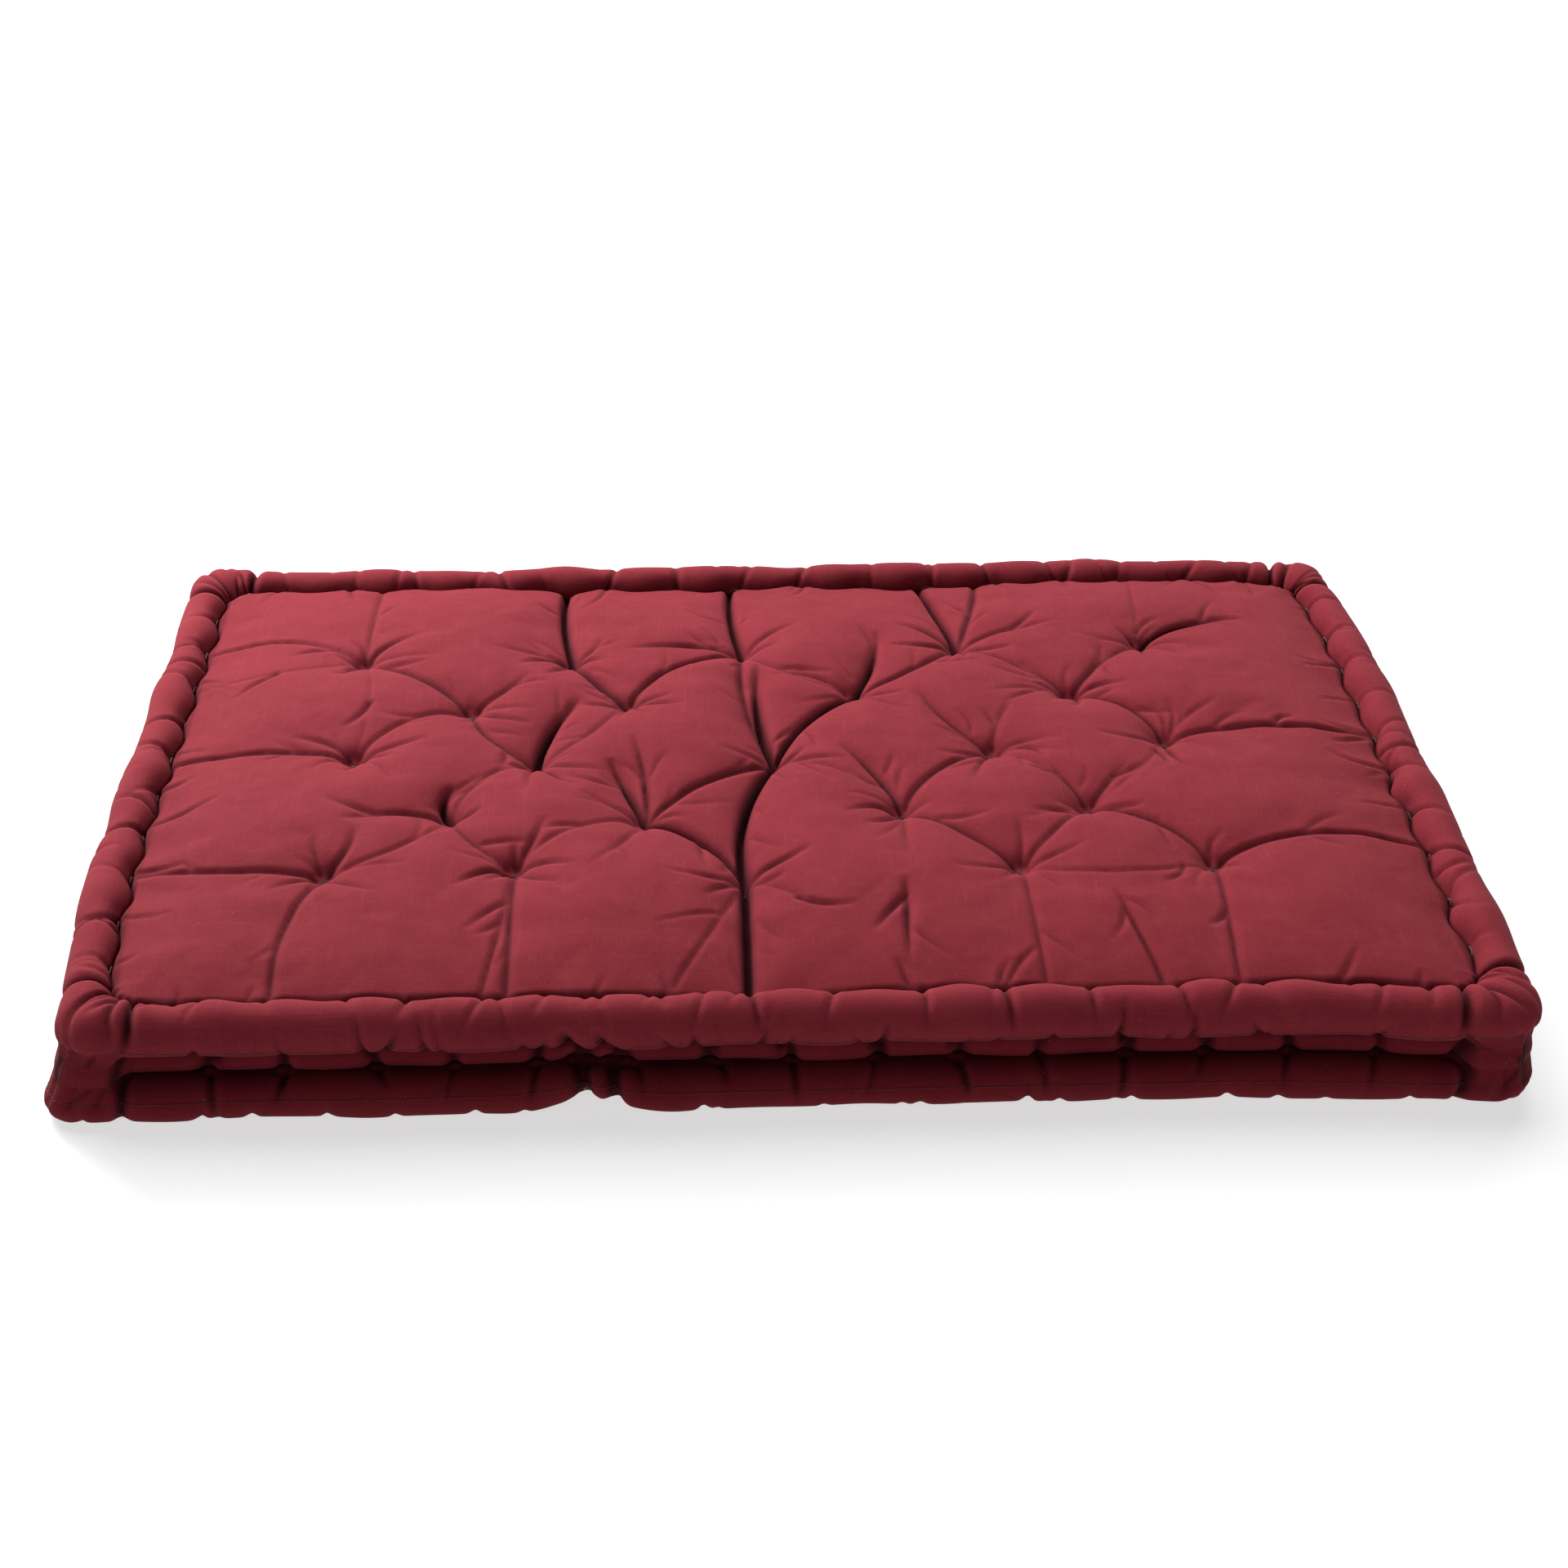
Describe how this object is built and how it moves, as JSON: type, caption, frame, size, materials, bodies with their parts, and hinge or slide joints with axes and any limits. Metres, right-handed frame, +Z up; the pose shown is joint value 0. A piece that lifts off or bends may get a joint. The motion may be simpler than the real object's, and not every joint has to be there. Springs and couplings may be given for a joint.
{
  "type": "futon mattress",
  "caption": "Rectangular tufted floor mattress in burgundy cotton, with hand-rolled top and bottom edges and a recessed boxing strip between them.",
  "frame": {"origin": "centre of the underside, on the surface that the mattress lies on", "axes": "+X along the long side, +Y towards the back along the short side, +Z up out of the lying surface"},
  "size_m": [1.2, 0.8, 0.11],
  "materials": {
    "cover_cloth": "matte plain-weave cotton with slubs, slightly faded on the crowns",
    "tuft_twine": "waxed cotton twine, dark burgundy",
    "stitch_twine": "waxed cotton twine, greyish burgundy",
    "seam_thread": "matte spun sewing thread",
    "cotton_batting": "soft matte cotton wadding, off-white with fibre flecks",
    "roll_fibre": "coarse matte cotton fibre rope, cream"
  },
  "bodies": {
    "root": {"top_panel": "cover_cloth", "bottom_panel": "cover_cloth", "boxing_front": "cover_cloth", "boxing_back": "cover_cloth", "boxing_left": "cover_cloth", "boxing_right": "cover_cloth", "top_roll_filling_front": "roll_fibre", "top_roll_filling_back": "roll_fibre", "top_roll_filling_left": "roll_fibre", "top_roll_filling_right": "roll_fibre", "bottom_roll_filling_front": "roll_fibre", "bottom_roll_filling_back": "roll_fibre", "bottom_roll_filling_left": "roll_fibre", "bottom_roll_filling_right": "roll_fibre", "batting_layer_1": "cotton_batting", "batting_layer_2": "cotton_batting", "batting_layer_3": "cotton_batting", "batting_layer_4": "cotton_batting", "batting_layer_5": "cotton_batting", "batting_layer_6": "cotton_batting", "tuft_ties_row_1": "tuft_twine", "tuft_ties_row_2": "tuft_twine", "tuft_ties_row_3": "tuft_twine", "tuft_ties_row_4": "tuft_twine", "tuft_ties_row_5": "tuft_twine", "top_roll_stitches": "stitch_twine", "bottom_roll_stitches": "stitch_twine", "top_seam_thread": "seam_thread", "bottom_seam_thread": "seam_thread", "corner_seam_threads": "seam_thread"}
  },
  "joints": []
}
